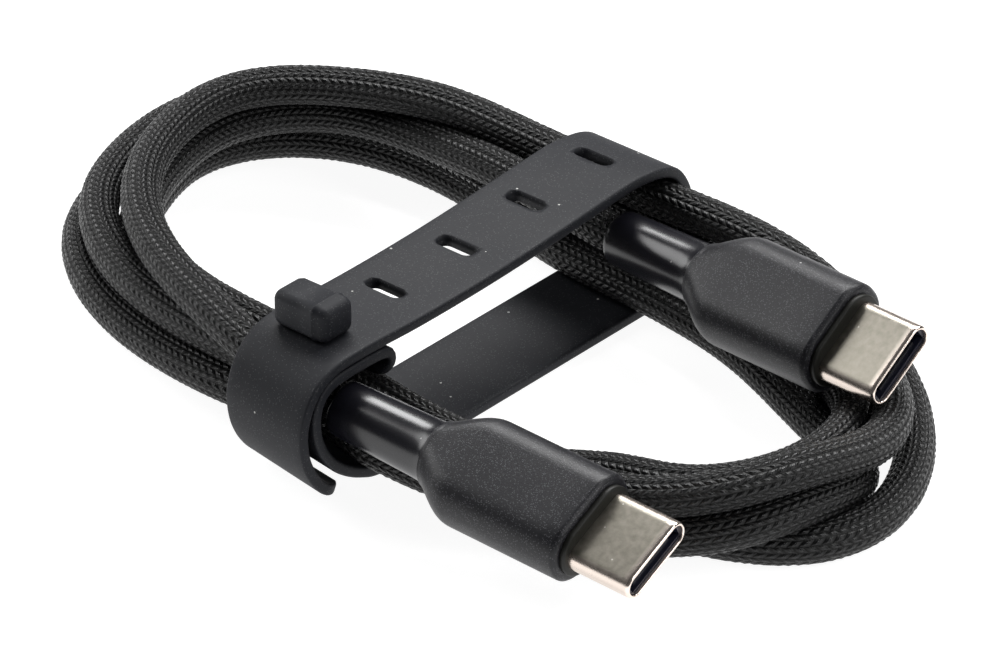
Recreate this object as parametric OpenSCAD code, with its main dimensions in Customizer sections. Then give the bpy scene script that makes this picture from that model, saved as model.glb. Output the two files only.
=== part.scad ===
// Charging cable, one metre long, wound into a flat oval hank and held by a silicone strap.
// The origin is on the surface it lies on, in the middle of its outline. +X runs towards the
// mouths of the two plugs, +Y from the near side of the hank to the far side, +Z is up.

/* [Cable] */
// Diameter of the braided cable
cable_d = 3.8; // [3.4:0.1:3.9]
// Width of the band of turns seen from above
hank_wall = 9; // [8:0.5:10]
// Height of the wound turns
hank_h = 7.8; // [7:0.1:8]

/* [Plugs] */
// Length of the metal shell that stands out of the plug
shell_out = 6.65; // [6.2:0.05:6.8]
// Width of the metal shell
shell_w = 8.34; // [8.2:0.01:8.4]
// Thickness of the metal shell
shell_t = 2.56; // [2.5:0.01:2.6]
// Length of the moulded grip
grip_len = 17.85; // [17:0.05:18.5]
// Width of the moulded grip
grip_w = 10.8; // [10.4:0.1:12]
// Thickness of the moulded grip
grip_t = 6.5; // [6.2:0.1:6.8]
// Length of the glossy strain relief sleeve
sleeve_len = 11.2; // [10.8:0.1:12]
// Diameter of the sleeve where the cable goes in
sleeve_d = 5.2; // [5:0.1:5.4]
// Diameter of the sleeve where it meets the grip
sleeve_root_d = 5.8; // [5.6:0.1:6.2]

/* [Strap] */
// Width of the silicone strap
strap_w = 10.6; // [9.6:0.1:11]
// Thickness of the silicone strap
strap_t = 1.1; // [0.9:0.05:1.1]
// Length of each slot, across the strap
slot_len = 4.5; // [4.2:0.1:5.5]
// Width of each slot, along the strap
slot_w = 1.5; // [1.4:0.1:2]
// Distance from one slot to the next
slot_pitch = 9.6; // [9.2:0.1:10]
// Length of the knob's head, across the strap
knob_len = 6.2; // [5.4:0.1:7]
// Width of the knob's head, along the strap
knob_w = 3.5; // [2.8:0.1:4]
// Height of the top of the knob above the surface
knob_top = 17.8; // [16.5:0.1:18.5]

/* [Hidden] */

$fn = 48;
cable_r = cable_d / 2;
gap = 0.3;                  // clearance between the hank and whatever lies against it
fit = 0.05;                 // clearance of a piece pressed into another

// Each plug's own axis starts at the cable end of its sleeve and runs to the mouth.
near_end = [4.5, -20.8, 8.5];
near_turn = [26, 2.1, 1];   // roll about its own axis, pitch, yaw
far_end = [4.8, 16.9, 9.5];
far_turn = [36, -3.2, -5.8];
grip_x = sleeve_len;
collar_len = 0.7;
collar_x = sleeve_len + grip_len - collar_len;
shell_x = sleeve_len + grip_len;
mouth_x = shell_x + shell_out;
shell_hidden = 5;           // how far the shell runs back into the grip
shell_wall = 0.22;
shell_in_w = shell_w - 2 * shell_wall;
shell_in_t = shell_t - 2 * shell_wall;
housing_x = shell_x - shell_hidden + 0.95;
housing_set_back = 0.35;
slot_depth = 6.2;
slot_y = 6.9;               // room for the tongue of the socket
slot_z = 1.3;
contact_t = 0.15;
contact_w = 0.28;
contact_pitch = 0.5;
upper_places = [1, 4, 5, 6, 7, 9, 12];
lower_places = [1, 4, 5, 9, 12];
board_x = 16;
board_w = 6.2;
board_t = 0.6;
shield_x = 15.6;
shield_w = 8;
shield_t = 3.8;
shield_wall = 0.2;
ferrule_x = 12;
ferrule_len = 3.2;
ferrule_r = 2.4;
cable_stop = 15.2;          // how far the cable runs into the plug
shoulder_len = 3.6;
shoulder_mid_x = 1.5;
shoulder_mid_w = 8.8;
shoulder_mid_t = 5.9;
grip_corner = 3;
bevel_len = 0.8;
bevel_in = 0.9;
collar_in = 1.3;

// The strap's middle line in Y and Z, from the short end under the knob to the free end.
strap_x = 0.1;
strap_mid = strap_t / 2;
near_wrap = [
    [-15.8, 9.5], [-15.2, 10.9], [-15.5, 12.0], [-16.8, 12.4], [-19.2, 12.45], [-21.0, 12.4],
    [-22.5, 12.1], [-23.8, 11.1], [-24.4, 9.4], [-24.2, 7.3], [-23.2, 5.1], [-21.3, 2.9],
    [-19.0, 1.3], [-16.5, strap_mid]
];
far_wrap = [
    [19.5, strap_mid], [22.5, strap_mid], [24.3, 0.9], [25.7, 2.3], [26.3, 4.5], [26.3, 7.0],
    [26.0, 9.8], [25.4, 11.6], [24.1, 13.3], [22.2, 14.2], [19.8, 14.6], [17.3, 14.7]
];
top_and_tail = [
    [12.0, 14.35], [6.0, 13.95], [0.0, 13.65], [-6.0, 13.5], [-12.0, 13.5], [-16.2, 13.65],
    [-19.2, 13.7], [-21.7, 13.55], [-23.8, 12.7], [-25.2, 11.2], [-26.0, 9.2], [-26.1, 7.4],
    [-25.6, 5.4], [-24.4, 3.4], [-22.6, 1.6]
];
slot_x = -0.5;
first_slot_y = -19.4;       // the slot that the knob is buttoned through
slot_count = 5;
slot_floor = 13.12;         // underside of the slotted layer at the knob
knob_root = 12.6;
stem_len = 4.1;
stem_w = 1.2;

// The hank's outline, a straight-sided oval with round ends.
hank_len = 93.8;
hank_w = 46;
hank_y = 2.3;

// Routes of the two leads from their sleeves, on top of the hank and down into it.
near_route = [
    [-1, -21.2, 9.9], [-9.5, -19.4, 10.6], [-16, -17.7, 11], [-22.4, -15.4, 11],
    [-28, -12.6, 11], [-32.3, -8.9, 11], [-36.9, -1.3, 11], [-39.2, 6.1, 11],
    [-38.7, 12.9, 11], [-35.9, 17.5, 11], [-29.1, 20.8, 11], [-18.5, 22.6, 11],
    [-8.9, 23.1, 11], [0, 23, 10.9], [7.3, 23.2, 11], [15.4, 23.4, 11],
    [25, 22.6, 9], [32, 20.6, 7], [38, 17, 4.5]
];
far_route = [
    [-1, 17.8, 9.9], [-7, 18.6, 9.8], [-12.5, 19.5, 9.3], [-17.5, 20.6, 8.3], [-23, 21.4, 6.5]
];
lead_sides = 8;

// ---- small helpers ----

// A smooth curve through points p, four steps to each span.
function curve_at(a, b, c, d, t) =
    b + 0.5 * t * (c - a + t * (2 * a - 5 * b + 4 * c - d + t * (3 * (b - c) + d - a)));
function smooth(p, steps = 4) = concat(
    [for (i = [0:len(p) - 2], k = [0:steps - 1])
        curve_at(p[max(i - 1, 0)], p[i], p[i + 1], p[min(i + 2, len(p) - 1)], k / steps)],
    [p[len(p) - 1]]);

function unit(v) = v / norm(v);
function along_path(p, i) = unit(p[min(i + 1, len(p) - 1)] - p[max(i - 1, 0)]);

// Points offset sideways from a flat path.
function beside(p, d) =
    [for (i = [0:len(p) - 1]) p[i] + d * [-along_path(p, i)[1], along_path(p, i)[0]]];
function backwards(p) = [for (i = [len(p) - 1:-1:0]) p[i]];

// A point on a plug's own axis, x millimetres from its cable end.
function on_axis(end, turn, x) =
    end + x * [cos(turn[1]) * cos(turn[2]), cos(turn[1]) * sin(turn[2]), -sin(turn[1])];

module along(x) {
    translate([x, 0, 0]) rotate([0, 90, 0]) children();
}

module at_near_plug() {
    translate(near_end) rotate(near_turn) children();
}

module at_far_plug() {
    translate(far_end) rotate(far_turn) children();
}

// A flat oval with full round ends, w along Y and t along X.
module oval(w, t) {
    square([t, w - t], center = true);
    for (side = [-1, 1]) translate([0, side * (w - t) / 2]) circle(d = t);
}

// A rectangle with round corners, w along Y and t along X.
module rounded(w, t, r) {
    square([t, w - 2 * r], center = true);
    square([t - 2 * r, w], center = true);
    for (x = [-1, 1], y = [-1, 1])
        translate([x * (t / 2 - r), y * (w / 2 - r)]) circle(r);
}

// A tube of round section swept along a route of points.
module swept(route, r, sides) {
    side_of = [for (i = [0:len(route) - 1]) unit(cross([0, 0, 1], along_path(route, i)))];
    up_of = [for (i = [0:len(route) - 1]) cross(along_path(route, i), side_of[i])];
    ring_points = [for (i = [0:len(route) - 1], k = [0:sides - 1])
        let (a = 360 * k / sides) route[i] + r * (cos(a) * side_of[i] + sin(a) * up_of[i])];
    last = (len(route) - 1) * sides;
    walls = [for (i = [0:len(route) - 2], k = [0:sides - 1])
        let (a = i * sides + k, b = i * sides + (k + 1) % sides) [a, a + sides, b + sides, b]];
    ends = [[for (k = [0:sides - 1]) k], [for (k = [sides - 1:-1:0]) last + k]];
    polyhedron(ring_points, concat(walls, ends));
}

// ---- strap ----

// The strap's band with any thickness and width, so that it can also cut its own clearance.
module band(thick, wide) {
    line = concat(smooth(near_wrap), smooth(concat(far_wrap, top_and_tail)));
    translate([strap_x + wide / 2, 0, 0]) rotate([90, 0, -90])
        linear_extrude(wide)
            mirror([1, 0])
                polygon(concat(beside(line, thick / 2), backwards(beside(line, -thick / 2))));
}

module strap_slot(i) {
    translate([slot_x, first_slot_y + i * slot_pitch, slot_floor]) rotate([0, 0, 90])
        linear_extrude(4) oval(slot_len, slot_w);
}

module strap_band() {
    color([0.16, 0.17, 0.19]) {
        difference() {
            band(strap_t, strap_w);
            for (i = [0:slot_count - 1]) strap_slot(i);
        }
        translate([slot_x, first_slot_y, 0]) {
            translate([0, 0, knob_root]) rotate([0, 0, 90])
                linear_extrude(2) oval(stem_len, stem_w);
            translate([0, 0, 14.35]) rotate([0, 0, 90])
                linear_extrude(knob_top - 14.35) rounded(knob_len, knob_w, 1);
        }
    }
}

// ---- cable ----

module plug_room() {
    along(-gap) cylinder(h = grip_x + 1, r = sleeve_root_d / 2 + gap);
    along(grip_x - gap) linear_extrude(grip_len + 2 * gap)
        rounded(grip_w + 2 * gap, grip_t + 2 * gap, grip_corner);
    along(shell_x) linear_extrude(shell_out + gap) oval(shell_w + 2 * gap, shell_t + 2 * gap);
}

module cable_hank() {
    color([0.08, 0.08, 0.09])
        difference() {
            translate([0, hank_y, 0]) linear_extrude(hank_h) rotate(90)
                oval(hank_len, hank_w);
            translate([0, hank_y, -1]) linear_extrude(hank_h + 2) rotate(90)
                oval(hank_len - 2 * hank_wall, hank_w - 2 * hank_wall);
            band(strap_t + 2 * gap, strap_w + 2 * gap);
            at_near_plug() plug_room();
            at_far_plug() plug_room();
        }
}

module near_lead() {
    in_plug = [for (x = [cable_stop, 8, 0]) on_axis(near_end, near_turn, x)];
    color([0.08, 0.08, 0.09]) swept(concat(in_plug, near_route), cable_r, lead_sides);
}

module far_lead() {
    in_plug = [for (x = [cable_stop, 8, 0]) on_axis(far_end, far_turn, x)];
    color([0.08, 0.08, 0.09]) swept(concat(in_plug, far_route), cable_r, lead_sides);
}

// ---- plug, drawn along +X from the cable end of its sleeve ----

module plug_shell() {
    color([0.72, 0.68, 0.64])
        along(shell_x - shell_hidden) difference() {
            linear_extrude(shell_hidden + shell_out) oval(shell_w, shell_t);
            translate([0, 0, -1]) linear_extrude(shell_hidden + shell_out + 2)
                oval(shell_in_w, shell_in_t);
        }
}

module contact_housing() {
    length = mouth_x - housing_set_back - housing_x;
    color([0.05, 0.05, 0.06])
        difference() {
            along(housing_x) linear_extrude(length) oval(shell_in_w - 2 * fit, shell_in_t - 2 * fit);
            translate([mouth_x - slot_depth, -slot_y / 2, -slot_z / 2])
                cube([slot_depth + 1, slot_y, slot_z]);
        }
}

// A row of contact strips that lie on one wall of the slot.
module contact_row(places, side) {
    color([0.85, 0.7, 0.35])
        for (place = places)
            translate([mouth_x - slot_depth, (place - 6.5) * contact_pitch - contact_w / 2,
                side > 0 ? slot_z / 2 - contact_t : -slot_z / 2])
                cube([3.6, contact_w, contact_t]);
}

module upper_contacts() {
    contact_row(upper_places, 1);
}

module lower_contacts() {
    contact_row(lower_places, -1);
}

// The steel plate between the two rows, with one spring arm along each side of the slot.
module latch_plate() {
    plate_t = 0.3;
    arm_w = 0.25;
    arm_len = slot_depth - 1;
    color([0.6, 0.6, 0.62])
        translate([mouth_x - slot_depth, 0, -plate_t / 2]) {
            translate([0, -slot_y / 2, 0]) cube([0.3, slot_y, plate_t]);
            translate([0, -slot_y / 2, 0]) cube([arm_len, arm_w, plate_t]);
            translate([0, slot_y / 2 - arm_w, 0]) cube([arm_len, arm_w, plate_t]);
        }
}

// Two thin grounding springs just inside the mouth.
module ground_springs() {
    spring_w = 5.2;
    color([0.6, 0.6, 0.62])
        for (low = [-slot_z / 2, slot_z / 2 - contact_t])
            translate([mouth_x - 2.2, -spring_w / 2, low]) cube([1.3, spring_w, contact_t]);
}

module circuit_board() {
    color([0.1, 0.35, 0.2])
        translate([board_x, -board_w / 2, -board_t / 2])
            cube([housing_x - board_x, board_w, board_t]);
}

module control_chip() {
    chip = 2;
    color([0.06, 0.06, 0.06])
        translate([board_x + 4.4, -chip / 2, board_t / 2]) cube([chip, chip, 0.55]);
}

// A folded metal can round the board, open at both ends.
module board_shield() {
    length = shell_x - shell_hidden - shield_x;
    color([0.7, 0.7, 0.72])
        difference() {
            translate([shield_x, -shield_w / 2, -shield_t / 2]) cube([length, shield_w, shield_t]);
            translate([shield_x - 1, -shield_w / 2 + shield_wall, -shield_t / 2 + shield_wall])
                cube([length + 2, shield_w - 2 * shield_wall, shield_t - 2 * shield_wall]);
        }
}

// Two power conductors on top of the board and two data conductors below it.
module conductors() {
    length = 3.2;
    color([0.75, 0.2, 0.15])
        for (side = [-1, 1]) {
            translate([0, side * 0.8, board_t / 2 + 0.45]) along(cable_stop)
                cylinder(h = length, r = 0.4);
            translate([0, side * 0.6, -board_t / 2 - 0.35]) along(cable_stop)
                cylinder(h = length, r = 0.3);
        }
}

module crimp_ferrule() {
    color([0.7, 0.6, 0.35])
        along(ferrule_x) difference() {
            cylinder(h = ferrule_len, r = ferrule_r);
            translate([0, 0, -1]) cylinder(h = ferrule_len + 2, r = cable_r + fit);
        }
}

// The grip's outside: round shoulders behind, a narrow bevel in front.
module grip_outside() {
    slice = 0.1;
    front = collar_x - grip_x;
    along(grip_x + shoulder_len) linear_extrude(front - shoulder_len - bevel_len)
        rounded(grip_w, grip_t, grip_corner);
    hull() {
        along(grip_x) cylinder(h = slice, d = sleeve_root_d + 0.4, $fn = 32);
        along(grip_x + shoulder_mid_x) linear_extrude(slice)
            rounded(shoulder_mid_w, shoulder_mid_t, shoulder_mid_t / 2 - 0.05, $fn = 32);
        along(grip_x + shoulder_len) linear_extrude(slice) rounded(grip_w, grip_t, grip_corner, $fn = 32);
    }
    hull() {
        along(collar_x - bevel_len - slice) linear_extrude(slice)
            rounded(grip_w, grip_t, grip_corner, $fn = 32);
        along(collar_x - slice) linear_extrude(slice)
            rounded(grip_w - bevel_in, grip_t - bevel_in, grip_corner - bevel_in / 2, $fn = 32);
    }
}

module plug_grip() {
    color([0.1, 0.1, 0.11])
        difference() {
            grip_outside();
            along(grip_x - 1) cylinder(h = ferrule_x - grip_x + 1, r = cable_r + fit);
            along(ferrule_x) cylinder(h = shield_x - ferrule_x, r = ferrule_r);
            translate([shield_x, -shield_w / 2, -shield_t / 2])
                cube([shell_x - shell_hidden - shield_x, shield_w, shield_t]);
            along(shell_x - shell_hidden) linear_extrude(shell_hidden) oval(shell_w, shell_t);
        }
}

module front_collar() {
    color([0.07, 0.07, 0.08])
        along(collar_x) difference() {
            linear_extrude(collar_len) rounded(grip_w - collar_in, grip_t - collar_in, grip_corner - collar_in / 2);
            translate([0, 0, -1]) linear_extrude(collar_len + 2) oval(shell_w, shell_t);
        }
}

module strain_relief() {
    color([0.05, 0.05, 0.06])
        along(0) difference() {
            cylinder(h = sleeve_len, d1 = sleeve_d, d2 = sleeve_root_d);
            translate([0, 0, -1]) cylinder(h = sleeve_len + 2, r = cable_r + fit);
        }
}

strap_band();
cable_hank();
near_lead();
far_lead();
at_near_plug() plug_shell();  // near_plug_shell
at_near_plug() contact_housing();  // near_contact_housing
at_near_plug() upper_contacts();  // near_upper_contacts
at_near_plug() lower_contacts();  // near_lower_contacts
at_near_plug() latch_plate();  // near_latch_plate
at_near_plug() ground_springs();  // near_ground_springs
at_near_plug() circuit_board();  // near_circuit_board
at_near_plug() control_chip();  // near_control_chip
at_near_plug() board_shield();  // near_board_shield
at_near_plug() conductors();  // near_conductors
at_near_plug() crimp_ferrule();  // near_crimp_ferrule
at_near_plug() plug_grip();  // near_plug_grip
at_near_plug() front_collar();  // near_front_collar
at_near_plug() strain_relief();  // near_strain_relief
at_far_plug() plug_shell();  // far_plug_shell
at_far_plug() contact_housing();  // far_contact_housing
at_far_plug() upper_contacts();  // far_upper_contacts
at_far_plug() lower_contacts();  // far_lower_contacts
at_far_plug() latch_plate();  // far_latch_plate
at_far_plug() ground_springs();  // far_ground_springs
at_far_plug() circuit_board();  // far_circuit_board
at_far_plug() control_chip();  // far_control_chip
at_far_plug() board_shield();  // far_board_shield
at_far_plug() conductors();  // far_conductors
at_far_plug() crimp_ferrule();  // far_crimp_ferrule
at_far_plug() plug_grip();  // far_plug_grip
at_far_plug() front_collar();  // far_front_collar
at_far_plug() strain_relief();  // far_strain_relief
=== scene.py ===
# %% [markdown]
# # A braided charging cable in a silicone strap
# The cable is about a metre of braid, wound four and a half times into a flat oval hank. A strap of silicone
# is buttoned round it, and a plug lies on each side of the hank.

import math

import bmesh
import bpy
import numpy as np
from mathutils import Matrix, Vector


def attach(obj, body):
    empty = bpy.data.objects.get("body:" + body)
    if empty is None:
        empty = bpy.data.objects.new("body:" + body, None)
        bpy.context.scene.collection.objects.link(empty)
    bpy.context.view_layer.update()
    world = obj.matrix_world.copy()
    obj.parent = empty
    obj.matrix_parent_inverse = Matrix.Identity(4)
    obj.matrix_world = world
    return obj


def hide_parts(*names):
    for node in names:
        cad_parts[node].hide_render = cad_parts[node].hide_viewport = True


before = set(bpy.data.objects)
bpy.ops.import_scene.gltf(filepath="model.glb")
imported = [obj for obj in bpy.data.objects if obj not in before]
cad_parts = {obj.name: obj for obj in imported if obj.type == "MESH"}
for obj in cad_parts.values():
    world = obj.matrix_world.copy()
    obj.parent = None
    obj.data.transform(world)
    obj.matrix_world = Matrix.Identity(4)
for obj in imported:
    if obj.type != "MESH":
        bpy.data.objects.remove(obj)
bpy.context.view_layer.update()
MM = 0.001

# %% [markdown]
# The camera is far away with a long lens, as for a product shot, so that the hank keeps its proportions.

# %% The camera
CAMERA_TURN, CAMERA_RISE, CAMERA_AWAY = math.radians(41.1), math.radians(31.04), 0.65
AIM = Vector((-0.003, 0.0088, 0.0))
LENS, SENSOR = 252.7, 36.0


def set_camera():
    towards = Vector((
        math.sin(CAMERA_TURN) * math.cos(CAMERA_RISE),
        -math.cos(CAMERA_TURN) * math.cos(CAMERA_RISE),
        math.sin(CAMERA_RISE),
    ))
    data = bpy.data.cameras.new("studio_camera")
    data.lens = LENS
    data.sensor_width = SENSOR
    camera = bpy.data.objects.new("studio_camera", data)
    camera.location = AIM + towards * CAMERA_AWAY
    camera.rotation_mode = "QUATERNION"
    camera.rotation_quaternion = (-towards).to_track_quat("-Z", "Y")
    bpy.context.scene.collection.objects.link(camera)
    bpy.context.scene.camera = camera


set_camera()
print("camera:", LENS, "mm lens,", CAMERA_AWAY, "m away")

# %% [markdown]
# ## Where the cable runs
# A wound cable is easiest to plan as lanes. The turns follow one oval, and each lane says how far outside
# that oval the cable runs and how high, at a number of degrees round it. Zero degrees is the near side under
# the strap, and the count goes on from turn to turn, so 360 is the same place one turn later.

# %% The oval and the lanes, in mm
CABLE_THICK = 3.8
LOOP_X, LOOP_Y, LOOP_LONG, LOOP_WIDE, LOOP_SQUARENESS = -1.0, 1.8, 42.0, 20.5, 2.4
TOP_TURN = [(0, 2.5, 9.95), (30, -1.8, 11), (60, -5.5, 11), (90, -4.8, 11), (120, 0.5, 11), (150, 1.8, 11),
            (180, 0.7, 10.95), (200, 2.4, 9.8), (225, 5.2, 4.6), (250, 4.4, 2), (270, 4.1, 1.95),
            (287, 0.9, 1.95), (307, -3.4, 1.95), (333, -4.7, 1.95), (342, -3.25, 2), (351, -3.7, 1.95)]
OUTER_TURN = [(360, -0.8, 3.45), (390, 0.6, 3.1), (420, 0.5, 3), (450, 2.3, 3), (470, 5.6, 3), (495, 8.6, 3),
              (515, 7.4, 3.1), (540, 1.1, 3.3), (565, 0.2, 3.5), (585, -0.4, 4.4), (598, 0.2, 5.3),
              (612, -0.4, 6.1), (630, -1.6, 6.5), (650, -2.8, 6.4), (668, -3.4, 5.4), (693, -8.5, 2),
              (702, -7.05, 2), (711, -6.9, 2)]
INNER_TURN = [(720, -4.9, 3.1), (750, -4.2, 3.1), (780, -4, 3.1), (810, -2.6, 3.1), (828, 3, 3.1),
              (850, 5.4, 3.1), (870, 3.6, 3.1), (900, -2.5, 3.1), (925, -3.6, 3), (948, -3.2, 2.1),
              (972, 0.2, 2), (986, 1.4, 3.8), (1000, 2.2, 5), (1012, 2.6, 5), (1030, 0.6, 3.2),
              (1053, -0.9, 1.95), (1062, 0.35, 4), (1071, 0.5, 4.2)]
MIDDLE_TURN = [(1080, 0.1, 7), (1110, -0.4, 7), (1140, -1.2, 7), (1170, 0.4, 7), (1190, 4.2, 7),
               (1215, 7.4, 7), (1235, 6.6, 7.1), (1260, 0.7, 7.1), (1285, 0.9, 7), (1310, 1.4, 6),
               (1335, 1.2, 6.2), (1350, 1.2, 7.4), (1365, 2, 8.6), (1380, 1.6, 8.2), (1394, 0.2, 6.8),
               (1413, -2.6, 5.2), (1422, -3.4, 5.4), (1431, -3.3, 5.5)]
LAST_TURN = [(1440, -3.8, 7), (1470, -4.2, 7.1), (1500, -5, 7.1), (1530, -4.6, 7.1), (1555, 0.6, 7.1),
             (1575, 3.2, 7.2), (1592, 1.2, 8.2), (1610, -3, 9.6), (1620, -4.3, 9.85)]
LANES = np.array(TOP_TURN + OUTER_TURN + INNER_TURN + MIDDLE_TURN + LAST_TURN, float)
print("lane marks:", len(LANES), "turns:", LANES[-1, 0] / 360)

# %% [markdown]
# The plugs and the strap are what the cable goes round, so their places come before it. Each plug is turned
# as it lies: rolled, pitched and yawed. Its own X runs from the cable to the mouth. The strap's middle line
# is a list of places across the hank and up, as (Y, Z).

# %% The places of the plugs and of the strap, in mm
PLUGS = {"near": ((4.5, -20.8, 8.5), (26, 2.1, 1)), "far": ((4.8, 16.9, 9.5), (36, -3.2, -5.8))}
STRAP_MIDDLE, STRAP_WIDE, STRAP_THICK = 0.1, 10.6, 1.1
NEAR_WRAP = [(-15.8, 9.5), (-15.2, 10.9), (-15.5, 12), (-16.8, 12.4), (-19.2, 12.45), (-21, 12.4),
             (-22.5, 12.1), (-23.8, 11.1), (-24.4, 9.4), (-24.2, 7.3), (-23.2, 5.1), (-21.3, 2.9),
             (-19, 1.3), (-16.5, 0.55)]
UNDER_RUN = [(-10, 0.55), (0, 0.55), (10, 0.55)]
FAR_WRAP = [(19.5, 0.55), (22.5, 0.55), (24.3, 0.9), (25.7, 2.3), (26.3, 4.5), (26.3, 7), (26, 9.8),
            (25.4, 11.6), (24.1, 13.3), (22.2, 14.2), (19.8, 14.6), (17.3, 14.7)]
TOP_AND_TAIL = [(12, 14.35), (6, 13.95), (0, 13.65), (-6, 13.5), (-12, 13.5), (-16.2, 13.65),
                (-19.2, 13.7), (-21.7, 13.55), (-23.8, 12.7), (-25.2, 11.2), (-26, 9.2), (-26.1, 7.4),
                (-25.7, 5.4), (-24.7, 3.4), (-23.3, 1.8), (-21.4, 0.75)]


def turned(angles):
    """The matrix that rolls, pitches and yaws by these degrees, in that order."""
    roll, pitch, yaw = (math.radians(a) for a in angles)
    by_x = np.array([[1, 0, 0], [0, math.cos(roll), -math.sin(roll)], [0, math.sin(roll), math.cos(roll)]])
    by_y = np.array([[math.cos(pitch), 0, math.sin(pitch)], [0, 1, 0],
                     [-math.sin(pitch), 0, math.cos(pitch)]])
    by_z = np.array([[math.cos(yaw), -math.sin(yaw), 0], [math.sin(yaw), math.cos(yaw), 0], [0, 0, 1]])
    return by_z @ by_y @ by_x


def placed(side, points):
    """Points in a plug's own frame, put where that plug lies."""
    end, angles = PLUGS[side]
    return np.array(end) + np.asarray(points, float) @ turned(angles).T


def smooth_line(points, steps=6):
    """A smooth line through given points, with some steps between each two."""
    p = np.array(points, float)
    q = np.vstack([2 * p[0] - p[1], p, 2 * p[-1] - p[-2]])
    line = []
    for a, b, c, d in zip(q, q[1:], q[2:], q[3:]):
        for t in np.arange(steps) / steps:
            line.append(b + 0.5 * t * (c - a + t * (2 * a - 5 * b + 4 * c - d + t * (3 * (b - c) + d - a))))
    line.append(p[-1])
    return np.array(line)


# %% A first guess of the route
SLEEVE_HOLDS = 8.0
LEAD_STOPS = (SLEEVE_HOLDS, 6, 4, 2, 0, -1.5)
POINT_GAP = 2.0
FIRST_DEGREE, LAST_DEGREE, DEGREE_STEP, LOOK_AHEAD = 10.0, 1610.0, 2.0, 0.05


def loop_point(degrees):
    """The oval that the turns follow."""
    t = np.radians(270 - degrees)
    c, s, power = np.cos(t), np.sin(t), 2 / LOOP_SQUARENESS
    return np.stack([LOOP_X + LOOP_LONG * np.sign(c) * np.abs(c) ** power,
                     LOOP_Y + LOOP_WIDE * np.sign(s) * np.abs(s) ** power], -1)


def flow(u, marks, values):
    """Values between marks on a smooth line that passes through them all."""
    h = np.diff(marks)
    slope = np.diff(values) / h
    m = np.r_[slope[0], (slope[:-1] * h[1:] + slope[1:] * h[:-1]) / (h[:-1] + h[1:]), slope[-1]]
    i = np.clip(np.searchsorted(marks, u, side="right") - 1, 0, len(h) - 1)
    t = (u - marks[i]) / h[i]
    return ((2 * t**3 - 3 * t**2 + 1) * values[i] + (t**3 - 2 * t**2 + t) * h[i] * m[i]
            + (3 * t**2 - 2 * t**3) * values[i + 1] + (t**3 - t**2) * h[i] * m[i + 1])


def line_length(p):
    """How far along the line each of its points is."""
    return np.r_[0, np.cumsum(np.linalg.norm(np.diff(p, axis=0), axis=1))]


def evenly(p, gap):
    """The same line with its points a gap apart."""
    along = line_length(p)
    spots = np.linspace(0, along[-1], int(round(along[-1] / gap)) + 1)
    return np.stack([np.interp(spots, along, p[:, k]) for k in range(3)], -1)


def first_route():
    """The turns in their lanes, with a straight lead into the sleeve of each plug."""
    u = np.arange(FIRST_DEGREE, LAST_DEGREE, DEGREE_STEP)
    out, high = (flow(u, LANES[:, 0], LANES[:, k]) for k in (1, 2))
    ahead = loop_point(u + LOOK_AHEAD) - loop_point(u - LOOK_AHEAD)
    ahead /= np.linalg.norm(ahead, axis=1)[:, None]
    flat = loop_point(u) + out[:, None] * np.stack([-ahead[:, 1], ahead[:, 0]], -1)
    lead = [(x, 0, 0) for x in LEAD_STOPS]
    near, far = placed("near", lead), placed("far", lead)[::-1]
    return evenly(np.vstack([near, np.column_stack([flat, high]), far]), POINT_GAP)


route = first_route()
print("first route:", round(line_length(route)[-1], 1), "mm")

# %% [markdown]
# The lanes alone would let turns cut into each other by a fraction of a millimetre and would kink where they
# change places. So the route is settled, as a real cable settles: in small steps its points stay near their
# lanes, straighten out, push apart where turns touch, and keep clear of the floor, the strap and the plugs.

# %% Settle the route
ROUNDS, SEARCH_EVERY, EVEN_OUT = 500, 20, 4
HELD_POINTS, SKIP_OWN_PLUG, SKIP_NEIGHBOURS = 7, 14, 7
SEARCH_REACH = 8
LANE_PULL, STRAIGHTEN, TURN_PUSH, PLUG_PUSH = 0.02, 0.5, 0.22, 0.6
TURN_ROOM, STRAP_ROOM, PLUG_ROOM, FLOOR_ROOM = 0.06, 0.05, 0.03, 0.02
# Along a plug, in mm: from, to, half the width of its flat core, and the radius round that core.
PLUG_BLOCKS = [(0.3, 11.2, 0.0, 2.85), (11.5, 14.0, 1.0, 3.1), (14.5, 28.6, 2.75, 3.25),
               (29.0, 35.7, 2.9, 1.3)]


def push_turns_apart(p, pairs, room):
    a, b = pairs
    between = p[a] - p[b]
    gap = np.linalg.norm(between, axis=1) + 1e-9
    push = TURN_PUSH * np.maximum(room - gap, 0)[:, None] / gap[:, None] * between
    move = np.zeros_like(p)
    np.add.at(move, a, push)
    np.add.at(move, b, -push)
    return move


def push_off_strap(p, lines):
    move = np.zeros_like(p)
    under = np.where(np.abs(p[:, 0] - STRAP_MIDDLE) < STRAP_WIDE / 2 + 1)[0]
    for line in lines:
        between = p[under][:, 1:][:, None] - line[None]
        gap = np.linalg.norm(between, axis=2)
        pick = gap.argmin(1)
        rows = np.arange(len(under))
        short = np.maximum((CABLE_THICK + STRAP_THICK) / 2 + STRAP_ROOM - gap[rows, pick], 0)
        move[under, 1:] += short[:, None] * between[rows, pick] / (gap[rows, pick][:, None] + 1e-9)
    return move


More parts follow.
